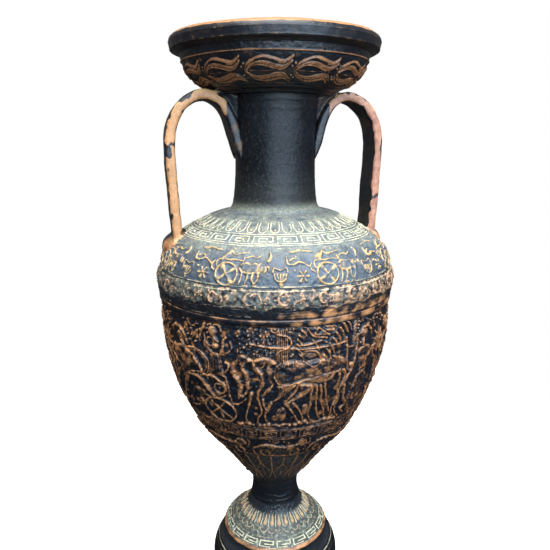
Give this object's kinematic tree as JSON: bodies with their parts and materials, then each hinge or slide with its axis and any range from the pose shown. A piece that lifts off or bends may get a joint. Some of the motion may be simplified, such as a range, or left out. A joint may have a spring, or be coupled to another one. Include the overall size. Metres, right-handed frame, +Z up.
{
  "type": "amphora",
  "caption": "Large floor-standing terracotta amphora with dished mouth, waisted neck, two strap handles, relief friezes, bell foot and plinth.",
  "frame": {"origin": "centre of the flat ring that the plinth rests on", "axes": "+Z up along the axis of the pot, handles on the X axis, main relief scene faces -Y"},
  "size_m": [0.4299, 0.4298, 1.0481],
  "materials": {
    "black_slip": "satin burnished black slip",
    "rubbed_relief": "black slip with copper-brown rubbed over the raised relief",
    "dusty_slip": "grey-black slip with pale green-gold dusting on raised lines",
    "bare_terracotta": "matt orange terracotta"
  },
  "bodies": {
    "root": {"base_plinth": "black_slip", "foot_bell": "dusty_slip", "stem": "black_slip", "lower_body": "rubbed_relief", "cordon": "rubbed_relief", "girdle_strip": "rubbed_relief", "shoulder": "dusty_slip", "neck": "black_slip", "neck_collar": "black_slip", "mouth_bowl": "rubbed_relief", "rim_ring": "black_slip", "handle_right": "bare_terracotta", "handle_left": "bare_terracotta", "lug_right": "bare_terracotta", "lug_left": "bare_terracotta"}
  },
  "joints": []
}
